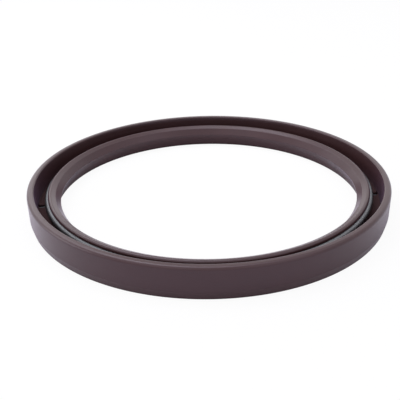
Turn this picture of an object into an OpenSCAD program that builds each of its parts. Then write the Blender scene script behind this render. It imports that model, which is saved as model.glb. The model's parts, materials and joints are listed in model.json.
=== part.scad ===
// Rotary shaft seal: a moulded rubber ring with a bonded steel case and a garter spring.
// It lies on its back face at z = 0, with the spring side up. Sections are drawn as [radius, height].

/* [Interfaces] */
// Bore of the housing that the seal is pressed into
housing_d = 180; // [176:1:220]
// Diameter of the shaft that the lip runs on
shaft_d = 150; // [120:1:153]
// Width of the seal along the shaft
seal_w = 15; // [14:0.5:25]
// How much larger than the housing bore the free outside is, on the diameter
press_over = 0.4; // [0.1:0.05:0.8]
// How much smaller than the shaft the free lip is, on the diameter
lip_preload = 0.8; // [0.4:0.1:2]

/* [Steel case] */
// Thickness of the pressed sheet
case_t = 1.2; // [0.8:0.1:1.5]
// Outside radius of the bend between wall and flange
case_bend = 2; // [1.6:0.1:3]
// Radial gap between the shaft and the flange's inner edge
case_gap = 7; // [6:0.1:8]

/* [Rubber cover] */
// Rubber outside the steel wall
cover_t = 1.3; // [1:0.1:2]
// Rubber on the inside of the steel wall, at the rim
lining_t = 0.9; // [0.5:0.1:1.4]
// Draft of the lining, in degrees from the axis
lining_draft = 2.5; // [0:0.5:5]
// Rubber over the end of the steel wall
rim_t = 1; // [0.6:0.1:2]
// Rubber under the flange, on the back face
back_t = 1; // [0.6:0.1:1.5]
// Rubber on top of the flange, in the groove
floor_t = 1; // [0.8:0.1:2.2]
// Height of the lead-in chamfer at the back
lead_h = 3.5; // [1:0.1:4]
// Depth of the lead-in chamfer at the back
lead_in = 0.8; // [0.5:0.1:2]
// Rounding of the rim's outer edge
rim_round = 1.6; // [0.2:0.1:2]
// Rounding of the rim's inner edge
rim_in_round = 0.8; // [0.2:0.1:1]
// Rounding where the lining meets the groove's floor
corner_round = 1.2; // [0.3:0.1:1.6]

/* [Sealing lip] */
// Height of the sealing edge above the back face
edge_z = 7.3; // [6.8:0.1:9]
// Width of the trimmed land on the sealing edge
edge_land = 0.3; // [0.1:0.1:0.5]
// Angle of the oil-side face to the axis
oil_angle = 33; // [30:1:45]
// Angle of the air-side face to the axis
air_angle = 30; // [25:1:38]
// Height of the oil-side face, along the axis
oil_h = 3.4; // [3:0.1:4.5]
// Rise of the lip's top face from its inner to its outer edge
top_rise = 2; // [0:0.1:2.2]
// Rounding of the lip's outer edge, over the spring
hook_round = 1.3; // [0.3:0.1:1.4]
// Rubber between the sealing edge and the spring
lip_t = 4.3; // [4:0.1:5]
// Height of the air-side face, along the axis
air_h = 4.2; // [3:0.1:4.6]
// Thickness of the bead that holds the spring from below
bead_t = 0.9; // [0.5:0.1:1.2]
// Radius at the foot of the waist, in the groove
foot_round = 1.6; // [0.8:0.1:2]
// Radial gap between the shaft and the rubber at the back face
nose_gap = 2.5; // [2:0.1:5]

/* [Garter spring] */
// Outside diameter of the coil
coil_d = 3.4; // [2.6:0.1:3.6]
// Diameter of the spring wire
wire_d = 0.5; // [0.3:0.05:0.7]
// Height of the spring above the sealing edge
spring_rise = 1.3; // [0:0.1:1.6]

/* [Support notches] */
// Number of notches that the mould's supports leave in the groove
notch_n = 15; // [3:1:24]
// Width of a notch
notch_w = 3; // [1:0.1:4]
// Radial gap between a notch and the inner edge of the flange
notch_edge = 1; // [0.5:0.1:2]
// Height of a notch up the lining, above the floor
notch_rise = 1; // [0.5:0.1:4]
// Angle of the first notch about the axis
notch_turn = -4; // [-180:0.1:180]

/* [Hidden] */
$fn = 240;
// Straight steps in each rounding of an outline
arc_steps = 8;
// Small roundings of the moulding and of the sheet's cut edge
fine_round = 0.3;
lead_round = 0.5;
nose_round = 0.4;
air_round = 6;

outer_r = (housing_d + press_over) / 2;
edge_r = (shaft_d - lip_preload) / 2;

case_r = outer_r - cover_t;
case_top = seal_w - rim_t;
case_hole_r = shaft_d / 2 + case_gap;
case_bend_in = case_bend - case_t;
flange_top = back_t + case_t;

rim_r = case_r - case_t - lining_t;
floor_z = flange_top + floor_t;
wall_foot_r = rim_r - (seal_w - floor_z) * tan(lining_draft);

spring_r = edge_r + lip_t + coil_d / 2;
spring_z = edge_z + spring_rise;

top_in_r = edge_r + oil_h * tan(oil_angle);
top_in_z = edge_z + oil_h;
nose_r = shaft_d / 2 + nose_gap;
bead_r = spring_r - coil_d / 4;
bead_z = spring_z - coil_d / 2 - bead_t;
waist_out_r = spring_r - coil_d / 2;
waist_in_r = edge_r + air_h * tan(air_angle);
waist_z = edge_z - air_h;

function unit(v) = v / norm(v);

// Arc that rounds corner b between its neighbours a and c with radius r
function corner(a, b, c, r) =
    let (
        u = unit(a - b),
        v = unit(c - b),
        half = acos(u * v) / 2,
        centre = b + unit(u + v) * r / sin(half),
        start = b + u * r / tan(half) - centre,
        from = atan2(start.y, start.x),
        side = sign((b.x - a.x) * (c.y - b.y) - (b.y - a.y) * (c.x - b.x)),
        sweep = side * (180 - 2 * half)
    )
    [for (i = [0:arc_steps]) centre + r * [cos(from + sweep * i / arc_steps), sin(from + sweep * i / arc_steps)]];

// Closed outline through corners [radius, height, rounding]
function rounded(corners) =
    let (n = len(corners), flat = [for (c = corners) [c.x, c.y]])
    [
        for (i = [0:n - 1])
            each corners[i].z == 0
                ? [flat[i]]
                : corner(flat[(i + n - 1) % n], flat[i], flat[(i + 1) % n], corners[i].z)
    ];

module cover_outline() {
    polygon(rounded([
        [outer_r - lead_in, 0, fine_round],
        [outer_r, lead_h, lead_round],
        [outer_r, seal_w, rim_round],
        [rim_r, seal_w, rim_in_round],
        [wall_foot_r, floor_z, corner_round],
        [waist_out_r, floor_z, foot_round],
        [waist_out_r, bead_z, fine_round],
        [bead_r, bead_z, fine_round],
        [bead_r, spring_z, 0],
        [spring_r, spring_z, 0],
        [spring_r, top_in_z + top_rise, hook_round],
        [top_in_r, top_in_z, fine_round],
        [edge_r, edge_z + edge_land / 2, 0],
        [edge_r, edge_z - edge_land / 2, 0],
        [waist_in_r, waist_z, air_round],
        [nose_r, 0, nose_round],
    ]));
}

module case_section() {
    polygon(rounded([
        [case_hole_r, back_t, 0],
        [case_r, back_t, case_bend],
        [case_r, case_top, fine_round],
        [case_r - case_t, case_top, fine_round],
        [case_r - case_t, flange_top, case_bend_in],
        [case_hole_r, flange_top, 0],
    ]));
}

// The cutter ends inside the sheet's thickness, so that it takes away all the rubber over the steel
module notch_cutter() {
    inside = case_t / 4;
    near_r = case_hole_r + notch_edge;
    far_r = case_r - case_t + inside;
    translate([near_r, -notch_w / 2, flange_top - inside])
        cube([far_r - near_r, notch_w, inside + floor_t + notch_rise]);
}

module rubber_body() {
    color("#5a4a4c")
        difference() {
            rotate_extrude()
                difference() {
                    cover_outline();
                    case_section();
                    translate([spring_r, spring_z]) circle(d = coil_d);
                }
            for (i = [0:notch_n - 1])
                rotate([0, 0, notch_turn + i * 360 / notch_n]) notch_cutter();
        }
}

module steel_case() {
    color("#8d9096") rotate_extrude() case_section();
}

module garter_spring() {
    color("#a9a6aa")
        rotate_extrude()
            translate([spring_r, spring_z])
                difference() {
                    circle(d = coil_d);
                    circle(d = coil_d - 2 * wire_d);
                }
}

rubber_body();
steel_case();
garter_spring();
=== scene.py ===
"""Looks of a rubber-covered rotary shaft seal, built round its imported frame.

The seal lies on its back face with the spring side up. Every size below is in millimetres, as on the
maker's drawing, and becomes metres only where a mesh, a finish, a lamp or the camera is made.
"""

import json
import logging
import math
from abc import ABC, abstractmethod
from dataclasses import dataclass
from enum import Enum
from typing import Any

import bpy
from mathutils import Matrix, Vector

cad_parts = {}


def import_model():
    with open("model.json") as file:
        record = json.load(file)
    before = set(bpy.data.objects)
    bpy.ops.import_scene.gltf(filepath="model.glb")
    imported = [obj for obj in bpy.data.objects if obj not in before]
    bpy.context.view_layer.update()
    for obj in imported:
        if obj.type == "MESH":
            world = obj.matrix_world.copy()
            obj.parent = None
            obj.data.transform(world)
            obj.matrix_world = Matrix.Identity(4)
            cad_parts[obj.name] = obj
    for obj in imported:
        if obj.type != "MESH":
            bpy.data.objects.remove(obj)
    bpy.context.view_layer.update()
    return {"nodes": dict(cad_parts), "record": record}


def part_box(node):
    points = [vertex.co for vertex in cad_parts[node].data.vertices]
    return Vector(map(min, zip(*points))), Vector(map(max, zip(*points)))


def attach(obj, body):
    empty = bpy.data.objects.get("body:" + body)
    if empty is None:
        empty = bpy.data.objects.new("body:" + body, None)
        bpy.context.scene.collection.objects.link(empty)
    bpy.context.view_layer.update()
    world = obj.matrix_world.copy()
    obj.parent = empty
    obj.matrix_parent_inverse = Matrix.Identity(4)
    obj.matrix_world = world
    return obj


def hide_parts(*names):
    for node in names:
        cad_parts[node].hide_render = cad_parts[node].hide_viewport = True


LOG = logging.getLogger("oil_seal")
MM = 0.001
WHITE = (1.0, 1.0, 1.0, 1.0)
WHOLE = (0.0, 1.0)

Point = tuple[float, float]


class Slot(Enum):
    """Names of the record's material slots for the rubber and the spring."""

    RUBBER = "fluoro_rubber"
    SPRING = "spring_steel"


def linear(hex_colour: str) -> tuple[float, float, float, float]:
    """Turns an sRGB hex colour to linear light.

    Args:
        hex_colour: Six hex digits after a hash.

    Returns:
        Red, green, blue and an alpha of 1.
    """
    parts = [int(hex_colour[i : i + 2], 16) / 255 for i in (1, 3, 5)]
    red, green, blue = (c / 12.92 if c <= 0.04045 else ((c + 0.055) / 1.055) ** 2.4 for c in parts)
    return red, green, blue, 1.0


def add_node(
    tree: bpy.types.NodeTree, kind: str, links: dict[Any, Any] | None = None, **settings: Any
) -> bpy.types.Node:
    """Adds a node with its settings and links.

    Args:
        tree: The tree that takes the node.
        kind: The node's type name.
        links: A value or another node's output for each named or numbered input.
        settings: The node's own properties.

    Returns:
        The new node.
    """
    node = tree.nodes.new(kind)
    for name, value in settings.items():
        setattr(node, name, value)
    for key, value in (links or {}).items():
        if isinstance(value, bpy.types.NodeSocket):
            tree.links.new(value, node.inputs[key])
        else:
            node.inputs[key].default_value = value
    return node


def reckon(
    tree: bpy.types.NodeTree, operation: str, *terms: float | bpy.types.NodeSocket
) -> bpy.types.NodeSocket:
    """Adds a maths node.

    Args:
        tree: The tree that takes the node.
        operation: What the node does.
        terms: Values or other nodes' outputs, in order.

    Returns:
        The result's socket.
    """
    node = add_node(tree, "ShaderNodeMath", dict(enumerate(terms)), operation=operation)
    return node.outputs[0]


def ramp(
    tree: bpy.types.NodeTree, value: bpy.types.NodeSocket, span: Point = WHOLE, result: Point = WHOLE
) -> bpy.types.NodeSocket:
    """Adds a node that turns one range of values into another.

    Args:
        tree: The tree that takes the node.
        value: The socket that it reads.
        span: The values between which the result changes.
        result: The result at each of them.

    Returns:
        The result's socket.
    """
    limits = dict(enumerate([*span, *result], start=1))
    return add_node(tree, "ShaderNodeMapRange", {"Value": value, **limits}).outputs[0]


def noise(
    tree: bpy.types.NodeTree, place: bpy.types.NodeSocket, spot: float, octaves: float
) -> bpy.types.NodeSocket:
    """Adds an uneven pattern.

    Args:
        tree: The material's node tree.
        place: The Object coordinates.
        spot: Size of the pattern's spots.
        octaves: How many finer patterns lie over the first.

    Returns:
        The socket with the pattern's level.
    """
    pattern = {"Vector": place, "Scale": 1 / (spot * MM), "Detail": octaves}
    return add_node(tree, "ShaderNodeTexNoise", pattern).outputs["Fac"]


def add_object(name: str, data: bpy.types.ID) -> bpy.types.Object:
    """Adds an object to the scene.

    Args:
        name: The object's name.
        data: Its mesh, curve, lamp or camera.

    Returns:
        The object.
    """
    made = bpy.data.objects.new(name, data)
    bpy.context.scene.collection.objects.link(made)
    return made


@dataclass(frozen=True)
class Finish(ABC):
    """A surface finish that makes one procedural material."""

    name: str
    base: str
    dark: str

    @abstractmethod
    def paint(
        self, tree: bpy.types.NodeTree, place: bpy.types.NodeSocket, shader: bpy.types.Node
    ) -> None:
        """Adds the finish's own nodes and sets the shader."""

    def material(self) -> bpy.types.Material:
        """Makes the material.

        Returns:
            A node material that reads Object coordinates only.
        """
        made = bpy.data.materials.new(self.name)
        made.use_nodes = True
        made.node_tree.nodes.clear()
        shader = add_node(made.node_tree, "ShaderNodeBsdfPrincipled")
        add_node(made.node_tree, "ShaderNodeOutputMaterial", {"Surface": shader.outputs["BSDF"]})
        place = add_node(made.node_tree, "ShaderNodeTexCoord").outputs["Object"]
        self.paint(made.node_tree, place, shader)
        return made

    def tone(
        self, tree: bpy.types.NodeTree, shader: bpy.types.Node, share: bpy.types.NodeSocket
    ) -> None:
        """Mixes the finish's two tones into the shader's base colour.

        Args:
            tree: The material's node tree.
            shader: Its principled shader.
            share: The socket with the share of the base tone.
        """
        colours = {0: share, 6: linear(self.dark), 7: linear(self.base)}
        mixed = add_node(tree, "ShaderNodeMix", colours, data_type="RGBA")
        tree.links.new(mixed.outputs[2], shader.inputs["Base Color"])


@dataclass(frozen=True, kw_only=True)
class MouldedRubber(Finish):
    """Brown fluoroelastomer, compression moulded in a turned steel mould.

    The eye sees a dense mauve brown with a satin skin, a lilac bloom where it is seen edge on, a fine
    grain, and faint turned rings that the mould leaves round the axis. The bottom of the groove is
    matt. The grain and the rings are drawn coarser than the real ones, which are about 0.05 mm,
    because those would not show.
    """

    groove_inner: float
    groove_outer: float
    groove_floor: float
    base: str = "#432b2c"
    dark: str = "#3b2627"
    gloss_tint: str = "#e9e5f6"
    ior: float = 1.48
    bloom: float = 0.12
    bloom_tint: str = "#d8c0ff"
    bloom_roughness: float = 0.3
    cloud: float = 14.0
    cloud_octaves: float = 3.0
    grain: float = 0.5
    grain_octaves: float = 2.0
    ring_pitch: float = 1.1
    ring_share: float = 0.06
    relief: float = 0.35
    relief_depth: float = 0.02
    roughness: float = 0.3
    uneven: float = 0.05
    groove_matt: float = 0.65
    groove_margin: float = 0.3
    groove_edge: float = 0.2
    groove_rise: float = 1.8
    groove_fade: float = 1.0

    def groove(
        self, tree: bpy.types.NodeTree, reach: bpy.types.NodeSocket, height: bpy.types.NodeSocket
    ) -> bpy.types.NodeSocket:
        """Finds the bottom of the groove, which the mould's blasted core leaves matt.

        Args:
            tree: The material's node tree.
            reach: The distance from the axis.
            height: The height above the back face.

        Returns:
            A socket with the roughness to add.
        """
        top = self.groove_floor + self.groove_rise
        inner = self.groove_inner - self.groove_margin
        outer = self.groove_outer + self.groove_margin
        fade, edge = self.groove_fade, self.groove_edge
        low = ramp(tree, height, ((top + fade) * MM, (top - fade) * MM), (0.0, self.groove_matt))
        past = ramp(tree, reach, ((inner - edge) * MM, (inner + edge) * MM))
        short = ramp(tree, reach, ((outer + edge) * MM, (outer - edge) * MM))
        return reckon(tree, "MULTIPLY", reckon(tree, "MULTIPLY", past, short), low)

    def paint(
        self, tree: bpy.types.NodeTree, place: bpy.types.NodeSocket, shader: bpy.types.Node
    ) -> None:
        """Adds clouds of tone, grain, turned rings and the matt groove.

        Args:
            tree: The material's node tree.
            place: The Object coordinates.
            shader: Its principled shader.
        """
        cloud = noise(tree, place, self.cloud, self.cloud_octaves)
        self.tone(tree, shader, cloud)

        flat = add_node(
            tree, "ShaderNodeVectorMath", {0: place, 1: (1.0, 1.0, 0.0)}, operation="MULTIPLY"
        )
        length = add_node(tree, "ShaderNodeVectorMath", {0: flat.outputs[0]}, operation="LENGTH")
        reach = length.outputs["Value"]
        height = add_node(tree, "ShaderNodeSeparateXYZ", {0: place}).outputs["Z"]
        along = reckon(tree, "ADD", reach, height)
        turns = reckon(tree, "MULTIPLY", along, 2 * math.pi / (self.ring_pitch * MM))
        rings = reckon(tree, "SINE", turns)
        grain = noise(tree, place, self.grain, self.grain_octaves)
        skin = reckon(tree, "MULTIPLY_ADD", rings, self.ring_share, grain)
        bump = add_node(
            tree,
            "ShaderNodeBump",
            {"Height": skin, "Strength": self.relief, "Distance": self.relief_depth * MM},
        )
        tree.links.new(bump.outputs["Normal"], shader.inputs["Normal"])

        satin = ramp(tree, cloud, result=(self.roughness - self.uneven, self.roughness + self.uneven))
        rough = reckon(tree, "ADD", satin, self.groove(tree, reach, height))
        tree.links.new(rough, shader.inputs["Roughness"])
        shader.inputs["IOR"].default_value = self.ior
        shader.inputs["Specular Tint"].default_value = linear(self.gloss_tint)
        shader.inputs["Sheen Weight"].default_value = self.bloom
        shader.inputs["Sheen Roughness"].default_value = self.bloom_roughness
        shader.inputs["Sheen Tint"].default_value = linear(self.bloom_tint)


@dataclass(frozen=True)
class PhosphatedSheet(Finish):
    """Cold-rolled steel sheet with the grey phosphate coat that rubber bonds to.

    The eye sees a dull bluish grey with fine crystal speckle.
    """

    base: str = "#7b8087"
    dark: str = "#5f646b"
    crystal: float = 0.15
    octaves: float = 4.0
    roughness: float = 0.55
    metallic: float = 0.8

    def paint(
        self, tree: bpy.types.NodeTree, place: bpy.types.NodeSocket, shader: bpy.types.Node
    ) -> None:
        """Adds the coat's crystal speckle.

        Args:
            tree: The material's node tree.
            place: The Object coordinates.
            shader: Its principled shader.
        """
        speckle = noise(tree, place, self.crystal, self.octaves)
        self.tone(tree, shader, speckle)
        shader.inputs["Metallic"].default_value = self.metallic
        shader.inputs["Roughness"].default_value = self.roughness


@dataclass(frozen=True)
class DrawnWire(Finish):
    """Hard-drawn stainless spring wire.

    The eye sees dull grey metal, a little streaked by the drawing die.
    """

    base: str = "#75767a"
    dark: str = "#606165"
    streak: float = 0.8
    octaves: float = 2.0
    roughness: float = 0.45
    uneven: float = 0.06

    def paint(
        self, tree: bpy.types.NodeTree, place: bpy.types.NodeSocket, shader: bpy.types.Node
    ) -> None:
        """Adds the die's streaks.

        Args:
            tree: The material's node tree.
            place: The Object coordinates.
            shader: Its principled shader.
        """
        streak = noise(tree, place, self.streak, self.octaves)
        self.tone(tree, shader, streak)
        rub = ramp(tree, streak, result=(self.roughness - self.uneven, self.roughness + self.uneven))
        tree.links.new(rub, shader.inputs["Roughness"])
        shader.inputs["Metallic"].default_value = 1.0


@dataclass(frozen=True)
class Corner:
    """A corner of a section, with the radius that rounds it."""

    radius: float
    height: float
    rounding: float = 0.0

    def spot(self) -> Vector:
        """Gives the corner as a point of the section."""
        return Vector((self.radius, self.height))


@dataclass(frozen=True)
class Outline:
    """A closed section outline with rounded corners and support points beside them."""

    corners: tuple[Corner, ...]
    steps: int = 10
    support: float = 0.12

    def points(self) -> list[Point]:
        """Walks round the outline.

        Returns:
            The outline's points, in the order of its corners.
        """
        walk: list[Point] = []
        for i, corner in enumerate(self.corners):
            before = self.corners[i - 1].spot()
            after = self.corners[(i + 1) % len(self.corners)].spot()
            walk += self.bend(before, corner, after)
        return walk

    def bend(self, before: Vector, corner: Corner, after: Vector) -> list[Point]:
        """Rounds one corner.

        Args:
            before: The corner that comes before.
            corner: The corner itself.
            after: The corner that comes after.

        Returns:
            The arc's points, between two support points on the straight stretches.
        """
        spot = corner.spot()
        if corner.rounding == 0:
            return [tuple(spot)]
        back = (before - spot).normalized()
        ahead = (after - spot).normalized()
        half = math.acos(max(-1.0, min(1.0, back.dot(ahead)))) / 2
        reach = corner.rounding / math.tan(half)
        centre = spot + (back + ahead).normalized() * corner.rounding / math.sin(half)
        start = spot + back * reach - centre
        cross = -back.x * ahead.y + back.y * ahead.x
        sweep = math.copysign(math.pi - 2 * half, cross)
        arc = [centre + Matrix.Rotation(sweep * i / self.steps, 2) @ start for i in range(self.steps + 1)]
        first = spot + back * min(reach + self.support, ((before - spot).length + reach) / 2)
        last = spot + ahead * min(reach + self.support, ((after - spot).length + reach) / 2)
        return [tuple(p) for p in [first, *arc, last]]


@dataclass(frozen=True)
class SealSection:
    """The seal's section, as radius and height above the back face."""

    outer_r: float
    width: float
    edge_r: float
    edge_z: float
    case_r: float
    case_top: float
    back_t: float
    spring_r: float
    spring_z: float
    coil_d: float
    case_hole_r: float = 82.0
    case_t: float = 1.2
    case_bend: float = 2.0
    lining_t: float = 0.9
    lining_draft: float = 2.5
    floor_t: float = 1.0
    lead_h: float = 3.5
    lead_in: float = 0.8
    lead_round: float = 0.5
    rim_round: float = 1.6
    rim_in_round: float = 0.8
    corner_round: float = 1.2
    foot_round: float = 1.6
    fine_round: float = 0.3
    edge_land: float = 0.3
    oil_angle: float = 33.0
    air_angle: float = 30.0
    oil_h: float = 3.4
    air_h: float = 4.2
    air_round: float = 6.0
    top_rise: float = 2.0
    hook_round: float = 1.3
    bead_t: float = 0.9
    nose_r: float = 77.5
    nose_round: float = 0.4
    groove_steps: int = 24

    @classmethod
    def from_frame(cls, record: dict[str, Any]) -> "SealSection":
        """Reads the section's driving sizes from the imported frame.

        Args:
            record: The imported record.

        Returns:
            The section.
        """
        body_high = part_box("rubber_body")[1] / MM
        case_low, case_high = (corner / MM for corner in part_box("steel_case"))
        spring_low, spring_high = (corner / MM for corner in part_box("garter_spring"))
        lip = next(m for m in record["mounts"] if m["name"] == "shaft_lip")
        coil_d = spring_high.z - spring_low.z
        return cls(
            outer_r=body_high.x,
            width=body_high.z,
            edge_r=lip["dims"]["r_mm"],
            edge_z=lip["pos_m"][2] / MM,
            case_r=case_high.x,
            case_top=case_high.z,
            back_t=case_low.z,
            spring_r=spring_high.x - coil_d / 2,
            spring_z=(spring_high.z + spring_low.z) / 2,
            coil_d=coil_d,
        )

    @property
    def flange_top(self) -> float:
        """Height of the flange's upper face."""
        return self.back_t + self.case_t

    @property
    def floor_z(self) -> float:
        """Height of the groove's floor."""
        return self.flange_top + self.floor_t

    @property
    def rim_r(self) -> float:
        """Radius of the rim's inner edge."""
        return self.case_r - self.case_t - self.lining_t

    @property
    def waist_r(self) -> float:
        """Radius of the waist's outside, in the groove."""
        return self.spring_r - self.coil_d / 2

    def cover(self) -> list[Point]:
        """Draws the moulding's outside.

        Returns:
            The outline's points, with the spring's seat as an arc.
        """
        foot_r = self.rim_r - (self.width - self.floor_z) * math.tan(math.radians(self.lining_draft))
        bead_r = self.spring_r - self.coil_d / 4
        bead_z = self.spring_z - self.coil_d / 2 - self.bead_t
        turn_r = self.edge_r + self.air_h * math.tan(math.radians(self.air_angle))
        top_r = self.edge_r + self.oil_h * math.tan(math.radians(self.oil_angle))
        top_z = self.edge_z + self.oil_h
        outside = Outline(
            (
                Corner(self.nose_r, 0, self.nose_round),
                Corner(self.outer_r - self.lead_in, 0, self.fine_round),
                Corner(self.outer_r, self.lead_h, self.lead_round),
                Corner(self.outer_r, self.width, self.rim_round),
                Corner(self.rim_r, self.width, self.rim_in_round),
                Corner(foot_r, self.floor_z, self.corner_round),
                Corner(self.waist_r, self.floor_z, self.foot_round),
                Corner(self.waist_r, bead_z, self.fine_round),
                Corner(bead_r, bead_z, self.fine_round),
                *self.seat(bead_r),
                Corner(self.spring_r, top_z + self.top_rise, self.hook_round),
                Corner(top_r, top_z, self.fine_round),
                Corner(self.edge_r, self.edge_z + self.edge_land / 2),
                Corner(self.edge_r, self.edge_z - self.edge_land / 2),
                Corner(turn_r, self.edge_z - self.air_h, self.air_round),
            )
        )
        return outside.points()

    def seat(self, bead_r: float) -> list[Corner]:
        """Draws the spring's seat.

        Args:
            bead_r: Radius at which the seat starts, above the bead.

        Returns:
            Points along the seat, from the bead up to the hook.
        """
        reach = self.coil_d / 2
        first = math.pi + math.acos((self.spring_r - bead_r) / reach)
        last = math.pi / 2
        turns = [first + (last - first) * i / self.groove_steps for i in range(self.groove_steps + 1)]
        return [
            Corner(self.spring_r + reach * math.cos(turn), self.spring_z + reach * math.sin(turn))
            for turn in turns
        ]

    def cavity(self) -> list[Point]:
        """Draws the space that the steel case fills.

        Returns:
            The outline's points, the other way round than the cover's.
        """
        inner_r = self.case_r - self.case_t
        case = Outline(
            (
                Corner(self.case_hole_r, self.flange_top),
                Corner(inner_r, self.flange_top, self.case_bend - self.case_t),
                Corner(inner_r, self.case_top, self.fine_round),
                Corner(self.case_r, self.case_top, self.fine_round),
                Corner(self.case_r, self.back_t, self.case_bend),
                Corner(self.case_hole_r, self.back_t),
            )
        )
        return case.points()


def fixed_mesh(maker: bpy.types.Object, name: str) -> bpy.types.Object:
    """Turns an object with a node modifier into a plain mesh object at the origin.

    Args:
        maker: The object whose modifier makes the shape. It is removed.
        name: The finished piece's name.

    Returns:
        The finished piece.
    """
    graph = bpy.context.evaluated_depsgraph_get()
    mesh = bpy.data.meshes.new_from_object(maker.evaluated_get(graph))
    mesh.name = name
    bpy.data.objects.remove(maker)
    return add_object(name, mesh)


def node_maker(tree: bpy.types.NodeTree, name: str, values: dict[str, Any]) -> bpy.types.Object:
    """Makes an empty mesh object that carries a node modifier.

    Args:
        tree: The geometry node tree.
        name: The object's name.
        values: A value for each named input of the tree.

    Returns:
        The object.
    """
    maker = add_object(name, bpy.data.meshes.new(name))
    modifier = maker.modifiers.new(name, "NODES")
    modifier.node_group = tree
    sockets = {s.name: s.identifier for s in tree.interface.items_tree if s.in_out == "INPUT"}
    for key, value in values.items():
        modifier[sockets[key]] = value
    return maker


def shape_tree(name: str, inputs: dict[str, str]) -> tuple[bpy.types.NodeTree, bpy.types.Node]:
    """Starts a geometry node tree with named inputs.

    Args:
        name: The tree's name.
        inputs: The socket type for each input's name.

    Returns:
        The tree and its input node.
    """
    tree = bpy.data.node_groups.new(name, "GeometryNodeTree")
    for key, kind in inputs.items():
        tree.interface.new_socket(key, in_out="INPUT", socket_type=kind)
    tree.interface.new_socket("Geometry", in_out="OUTPUT", socket_type="NodeSocketGeometry")
    return tree, add_node(tree, "NodeGroupInput")


def close_tree(tree: bpy.types.NodeTree, shape: bpy.types.NodeSocket, finish: bpy.types.Material) -> None:
    """Ends a geometry node tree with a real, smooth, dressed mesh.

    Args:
        tree: The tree.
        shape: The socket that gives the shape.
        finish: The material that it gets.
    """
    real = add_node(tree, "GeometryNodeRealizeInstances", {0: shape})
    smooth = add_node(tree, "GeometryNodeSetShadeSmooth", {0: real.outputs[0]})
    dressed = add_node(
        tree, "GeometryNodeSetMaterial", {"Geometry": smooth.outputs[0], "Material": finish}
    )
    add_node(tree, "NodeGroupOutput", {0: dressed.outputs[0]})


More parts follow.
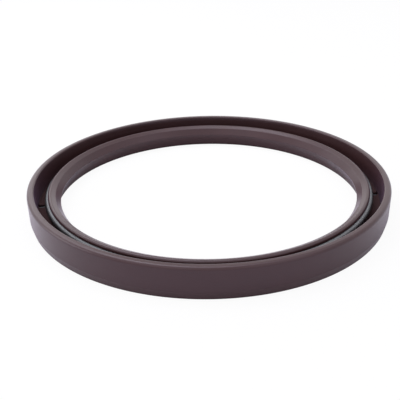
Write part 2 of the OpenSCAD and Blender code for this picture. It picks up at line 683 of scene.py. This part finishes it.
@dataclass
class RubberBody:
    """The moulding: cover, rim, lining, floor, waist and lip in one piece."""

    section: SealSection
    finish: Finish
    segments: int = 360
    notch_n: int = 15
    notch_w: float = 3.0
    notch_edge: float = 1.0
    notch_rise: float = 1.0
    notch_turn: float = -4.0
    crease: float = 28.0

    def profile(self) -> bpy.types.Object:
        """Draws the section as a curve, measured from the seal's axis.

        Returns:
            A curve object with the cover's and the cavity's outlines.
        """
        curve = bpy.data.curves.new("seal_section", "CURVE")
        for outline in (self.section.cover(), self.section.cavity()):
            spline = curve.splines.new("POLY")
            spline.points.add(len(outline) - 1)
            for point, (radius, height) in zip(spline.points, outline):
                point.co = (radius * MM, height * MM, 0.0, 1.0)
            spline.use_cyclic_u = True
        return add_object("seal_section", curve)

    def tree(self) -> bpy.types.NodeTree:
        """Builds the tree that turns the section round the axis and cuts the notches.

        Returns:
            The geometry node tree.
        """
        tree, given = shape_tree(
            "moulded_ring",
            {
                "Section": "NodeSocketObject",
                "Segments": "NodeSocketInt",
                "Axis Radius": "NodeSocketFloat",
                "Notches": "NodeSocketInt",
                "Notch Size": "NodeSocketVector",
                "Notch Place": "NodeSocketVector",
                "Notch Turn": "NodeSocketFloat",
            },
        )
        drawn = add_node(tree, "GeometryNodeObjectInfo", {"Object": given.outputs["Section"]})
        inward = reckon(tree, "MULTIPLY", given.outputs["Axis Radius"], -1.0)
        offset = add_node(tree, "ShaderNodeCombineXYZ", {"X": inward})
        centred = add_node(
            tree,
            "GeometryNodeTransform",
            {"Geometry": drawn.outputs["Geometry"], "Translation": offset.outputs[0]},
        )
        flipped = add_node(
            tree, "GeometryNodeTransform", {"Geometry": centred.outputs[0], "Scale": (1.0, -1.0, 1.0)}
        )
        path = add_node(
            tree,
            "GeometryNodeCurvePrimitiveCircle",
            {"Resolution": given.outputs["Segments"], "Radius": given.outputs["Axis Radius"]},
        )
        upright = add_node(
            tree, "GeometryNodeSetCurveNormal", {"Curve": path.outputs["Curve"]}, mode="Z_UP"
        )
        ring = add_node(
            tree,
            "GeometryNodeCurveToMesh",
            {"Curve": upright.outputs[0], "Profile Curve": flipped.outputs[0]},
        )
        outward = add_node(tree, "GeometryNodeFlipFaces", {0: ring.outputs[0]})
        cutter = add_node(tree, "GeometryNodeMeshCube", {"Size": given.outputs["Notch Size"]})
        placed = add_node(
            tree,
            "GeometryNodeTransform",
            {"Geometry": cutter.outputs[0], "Translation": given.outputs["Notch Place"]},
        )
        spots = add_node(tree, "GeometryNodePoints", {"Count": given.outputs["Notches"]})
        index = add_node(tree, "GeometryNodeInputIndex").outputs[0]
        step = reckon(tree, "DIVIDE", 2 * math.pi, given.outputs["Notches"])
        angle = reckon(tree, "MULTIPLY_ADD", index, step, given.outputs["Notch Turn"])
        turn = add_node(tree, "ShaderNodeCombineXYZ", {"Z": angle})
        cutters = add_node(
            tree,
            "GeometryNodeInstanceOnPoints",
            {"Points": spots.outputs[0], "Instance": placed.outputs[0], "Rotation": turn.outputs[0]},
        )
        real = add_node(tree, "GeometryNodeRealizeInstances", {0: cutters.outputs[0]})
        cut = add_node(tree, "GeometryNodeMeshBoolean", operation="DIFFERENCE")
        tree.links.new(outward.outputs[0], cut.inputs["Mesh 1"])
        tree.links.new(real.outputs[0], cut.inputs["Mesh 2"])
        close_tree(tree, cut.outputs["Mesh"], self.finish.material())
        return tree

    def build(self) -> bpy.types.Object:
        """Makes the moulding.

        Returns:
            The finished piece, which stands for the frame's own.
        """
        section = self.section
        inside = section.case_t / 4
        near = section.case_hole_r + self.notch_edge
        far = section.case_r - section.case_t + inside
        low = section.flange_top - inside
        high = section.floor_z + self.notch_rise
        drawn = self.profile()
        maker = node_maker(
            self.tree(),
            "rubber_maker",
            {
                "Section": drawn,
                "Segments": self.segments,
                "Axis Radius": section.spring_r * MM,
                "Notches": self.notch_n,
                "Notch Size": ((far - near) * MM, self.notch_w * MM, (high - low) * MM),
                "Notch Place": ((near + far) / 2 * MM, 0.0, (low + high) / 2 * MM),
                "Notch Turn": math.radians(self.notch_turn),
            },
        )
        piece = fixed_mesh(maker, "moulded_rubber")
        bpy.data.objects.remove(drawn)
        piece.data.set_sharp_from_angle(angle=math.radians(self.crease))
        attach(piece, "root")
        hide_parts("rubber_body")
        return piece


@dataclass
class GarterSpring:
    """The garter spring: one wire wound close and joined end to end."""

    section: SealSection
    finish: Finish
    wire_d: float = 0.5
    steps: int = 12
    sides: int = 5

    @property
    def turns(self) -> int:
        """Number of turns that lie side by side round the ring."""
        return round(2 * math.pi * self.section.spring_r / self.wire_d)

    def tree(self) -> bpy.types.NodeTree:
        """Builds the tree that winds the wire.

        Returns:
            The geometry node tree.
        """
        tree, given = shape_tree(
            "wound_wire",
            {
                "Ring Radius": "NodeSocketFloat",
                "Ring Height": "NodeSocketFloat",
                "Coil Radius": "NodeSocketFloat",
                "Wire Radius": "NodeSocketFloat",
                "Turns": "NodeSocketInt",
                "Steps": "NodeSocketInt",
                "Sides": "NodeSocketInt",
            },
        )
        size = given.outputs
        count = reckon(tree, "MULTIPLY", size["Turns"], size["Steps"])
        line = add_node(tree, "GeometryNodeCurvePrimitiveCircle", {"Resolution": count})
        index = add_node(tree, "GeometryNodeInputIndex").outputs[0]
        share = reckon(tree, "DIVIDE", index, count)
        round_ring = reckon(tree, "MULTIPLY", share, 2 * math.pi)
        round_coil = reckon(tree, "MULTIPLY", round_ring, size["Turns"])
        across = reckon(tree, "COSINE", round_coil)
        above = reckon(tree, "SINE", round_coil)
        reach = reckon(tree, "MULTIPLY_ADD", across, size["Coil Radius"], size["Ring Radius"])
        height = reckon(tree, "MULTIPLY_ADD", above, size["Coil Radius"], size["Ring Height"])
        east = reckon(tree, "MULTIPLY", reckon(tree, "COSINE", round_ring), reach)
        north = reckon(tree, "MULTIPLY", reckon(tree, "SINE", round_ring), reach)
        spot = add_node(tree, "ShaderNodeCombineXYZ", {"X": east, "Y": north, "Z": height})
        wound = add_node(
            tree,
            "GeometryNodeSetPosition",
            {"Geometry": line.outputs["Curve"], "Position": spot.outputs[0]},
        )
        wire = add_node(
            tree,
            "GeometryNodeCurvePrimitiveCircle",
            {"Resolution": size["Sides"], "Radius": size["Wire Radius"]},
        )
        swept = add_node(
            tree,
            "GeometryNodeCurveToMesh",
            {"Curve": wound.outputs[0], "Profile Curve": wire.outputs["Curve"]},
        )
        close_tree(tree, swept.outputs[0], self.finish.material())
        return tree

    def build(self) -> bpy.types.Object:
        """Makes the spring.

        Returns:
            The finished piece, which stands for the frame's hollow ring.
        """
        section = self.section
        maker = node_maker(
            self.tree(),
            "spring_maker",
            {
                "Ring Radius": section.spring_r * MM,
                "Ring Height": section.spring_z * MM,
                "Coil Radius": (section.coil_d - self.wire_d) / 2 * MM,
                "Wire Radius": self.wire_d / 2 * MM,
                "Turns": self.turns,
                "Steps": self.steps,
                "Sides": self.sides,
            },
        )
        piece = fixed_mesh(maker, "wound_spring")
        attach(piece, "root")
        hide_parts("garter_spring")
        return piece


@dataclass
class SteelCase:
    """The pressed case, which shows only at the bottom of the notches."""

    finish: Finish

    def dress(self, node: bpy.types.Object) -> None:
        """Gives the frame's own case its finish.

        Args:
            node: The case's object.
        """
        node.data.materials.clear()
        node.data.materials.append(self.finish.material())


@dataclass(frozen=True)
class PhotoView:
    """The camera, at the photograph's viewing angle."""

    distance: float = 315.7
    elevation: float = 26.446
    roll: float = 1.235
    aim_x: float = -4.4
    aim_z: float = -1.08
    focal_px: float = 604.0
    frame_px: float = 400.0
    sensor: float = 36.0
    near: float = 10.0
    far: float = 20000.0

    def build(self) -> None:
        """Makes the scene's camera."""
        tilt = math.radians(self.elevation)
        turn = math.radians(self.roll)
        ahead = Vector((0.0, math.cos(tilt), -math.sin(tilt)))
        above = Vector((0.0, math.sin(tilt), math.cos(tilt)))
        aside = Vector((1.0, 0.0, 0.0))
        right = aside * math.cos(turn) - above * math.sin(turn)
        top = aside * math.sin(turn) + above * math.cos(turn)
        place = (Vector((self.aim_x, 0.0, self.aim_z)) - ahead * self.distance) * MM
        lens = bpy.data.cameras.new("photo_camera")
        lens.sensor_width = self.sensor
        lens.lens = self.focal_px / self.frame_px * self.sensor
        lens.clip_start = self.near * MM
        lens.clip_end = self.far * MM
        camera = add_object("photo_camera", lens)
        turned = Matrix((right, top, -ahead)).transposed().to_4x4()
        camera.matrix_world = Matrix.Translation(place) @ turned
        bpy.context.scene.camera = camera


@dataclass(frozen=True)
class Softbox:
    """A soft lamp that faces the seal, placed by its bearing from the camera's side."""

    name: str
    bearing: float
    elevation: float
    distance: float
    wide: float
    tall: float
    radiance: float

    def build(self) -> None:
        """Makes the lamp."""
        turn = math.radians(self.bearing)
        tilt = math.radians(self.elevation)
        level = math.cos(tilt)
        toward = Vector((math.sin(turn) * level, -math.cos(turn) * level, math.sin(tilt)))
        light = bpy.data.lights.new(self.name, "AREA")
        light.shape = "RECTANGLE"
        light.size = self.wide * MM
        light.size_y = self.tall * MM
        light.energy = self.radiance * math.pi * light.size * light.size_y
        lamp = add_object(self.name, light)
        lamp.location = toward * self.distance * MM
        lamp.rotation_mode = "QUATERNION"
        lamp.rotation_quaternion = (-toward).to_track_quat("-Z", "Y")
        lamp.visible_camera = False


@dataclass(frozen=True)
class Studio:
    """A plain pale table under soft lamps."""

    lamps: tuple[Softbox, ...]
    table_side: float = 8000.0
    table_gap: float = 0.02
    table_colour: str = "#f8f6ff"
    glow: float = 0.93
    mirror_glow: float = 0.06
    fill: float = 0.38

    def seen(
        self, tree: bpy.types.NodeTree, straight: float = 1.0, mirrored: float = 1.0
    ) -> bpy.types.NodeSocket:
        """Finds the rays that show the background itself.

        Args:
            tree: A material's or the world's node tree.
            straight: The background's share for the camera's own rays.
            mirrored: Its share for rays that a surface reflects or lets through.

        Returns:
            A socket with the ray's share, which is 0 for the light that falls on the seal.
        """
        path = add_node(tree, "ShaderNodeLightPath").outputs
        direct = reckon(tree, "MULTIPLY", path["Is Camera Ray"], straight)
        bent = reckon(tree, "MAXIMUM", path["Is Glossy Ray"], path["Is Transmission Ray"])
        return reckon(tree, "MAXIMUM", direct, reckon(tree, "MULTIPLY", bent, mirrored))

    def table(self) -> None:
        """Makes the table, nearly white to the camera and nearly its own lit colour to the seal.

        It lies a hair below the back face, because two faces at one height would flicker.
        """
        half = self.table_side / 2 * MM
        mesh = bpy.data.meshes.new("table")
        low = -self.table_gap * MM
        corners = [(-half, -half, low), (half, -half, low), (half, half, low), (-half, half, low)]
        mesh.from_pydata(corners, [], [(0, 1, 2, 3)])
        white = bpy.data.materials.new("pale_table")
        white.use_nodes = True
        tree = white.node_tree
        tree.nodes.clear()
        matt = add_node(tree, "ShaderNodeBsdfDiffuse", {"Color": linear(self.table_colour)})
        glow = add_node(tree, "ShaderNodeEmission", {"Color": WHITE, "Strength": 1.0})
        both = add_node(
            tree,
            "ShaderNodeMixShader",
            {0: self.seen(tree, self.glow, self.mirror_glow), 1: matt.outputs[0], 2: glow.outputs[0]},
        )
        add_node(tree, "ShaderNodeOutputMaterial", {"Surface": both.outputs[0]})
        mesh.materials.append(white)
        table = add_object("table", mesh)

    def surround(self) -> None:
        """Makes the world: a plain fill for the seal, white to the camera and in reflections."""
        world = bpy.data.worlds.new("studio")
        bpy.context.scene.world = world
        world.use_nodes = True
        tree = world.node_tree
        tree.nodes.clear()
        level = ramp(tree, self.seen(tree), result=(self.fill, 1.0))
        sky = add_node(tree, "ShaderNodeBackground", {"Color": WHITE, "Strength": level})
        add_node(tree, "ShaderNodeOutputWorld", {"Surface": sky.outputs[0]})

    def build(self) -> None:
        """Makes the table, the world and the lamps."""
        self.table()
        self.surround()
        for lamp in self.lamps:
            lamp.build()
        bpy.context.scene.view_settings.view_transform = "Standard"


LAMPS = (
    Softbox("top_softbox", bearing=240, elevation=84, distance=1000, wide=700, tall=700, radiance=2.4),
    Softbox("high_left", bearing=240, elevation=58, distance=1050, wide=700, tall=550, radiance=2.6),
    Softbox("high_right", bearing=80, elevation=58, distance=1050, wide=700, tall=550, radiance=0.8),
    Softbox("rear_left", bearing=222, elevation=32, distance=1100, wide=800, tall=500, radiance=1.2),
    Softbox("rear_right", bearing=150, elevation=32, distance=1100, wide=900, tall=500, radiance=0.3),
    Softbox("rear_strip", bearing=190, elevation=10, distance=1200, wide=1200, tall=350, radiance=0.6),
    Softbox("low_left", bearing=272, elevation=15, distance=1100, wide=700, tall=500, radiance=2.3),
    Softbox("front_left", bearing=325, elevation=40, distance=1100, wide=700, tall=500, radiance=0.65),
    Softbox("front_right", bearing=38, elevation=30, distance=1100, wide=700, tall=500, radiance=0.6),
)


def main() -> None:
    """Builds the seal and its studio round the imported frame."""
    logging.basicConfig(level=logging.INFO, format="%(name)s: %(message)s")
    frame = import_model()
    PhotoView().build()
    Studio(LAMPS).build()

    section = SealSection.from_frame(frame["record"])
    skin = MouldedRubber(
        "moulded_fluoroelastomer",
        groove_inner=section.waist_r,
        groove_outer=section.rim_r,
        groove_floor=section.floor_z,
    )
    rubber = RubberBody(section, skin).build()
    LOG.info("%s: %d faces", rubber.name, len(rubber.data.polygons))
    spring = GarterSpring(section, DrawnWire("drawn_spring_wire")).build()
    LOG.info("%s: %d faces", spring.name, len(spring.data.polygons))
    SteelCase(PhosphatedSheet("phosphated_sheet_steel")).dress(frame["nodes"]["steel_case"])
    LOG.info("steel_case: dressed")


if __name__ == "__main__":
    main()
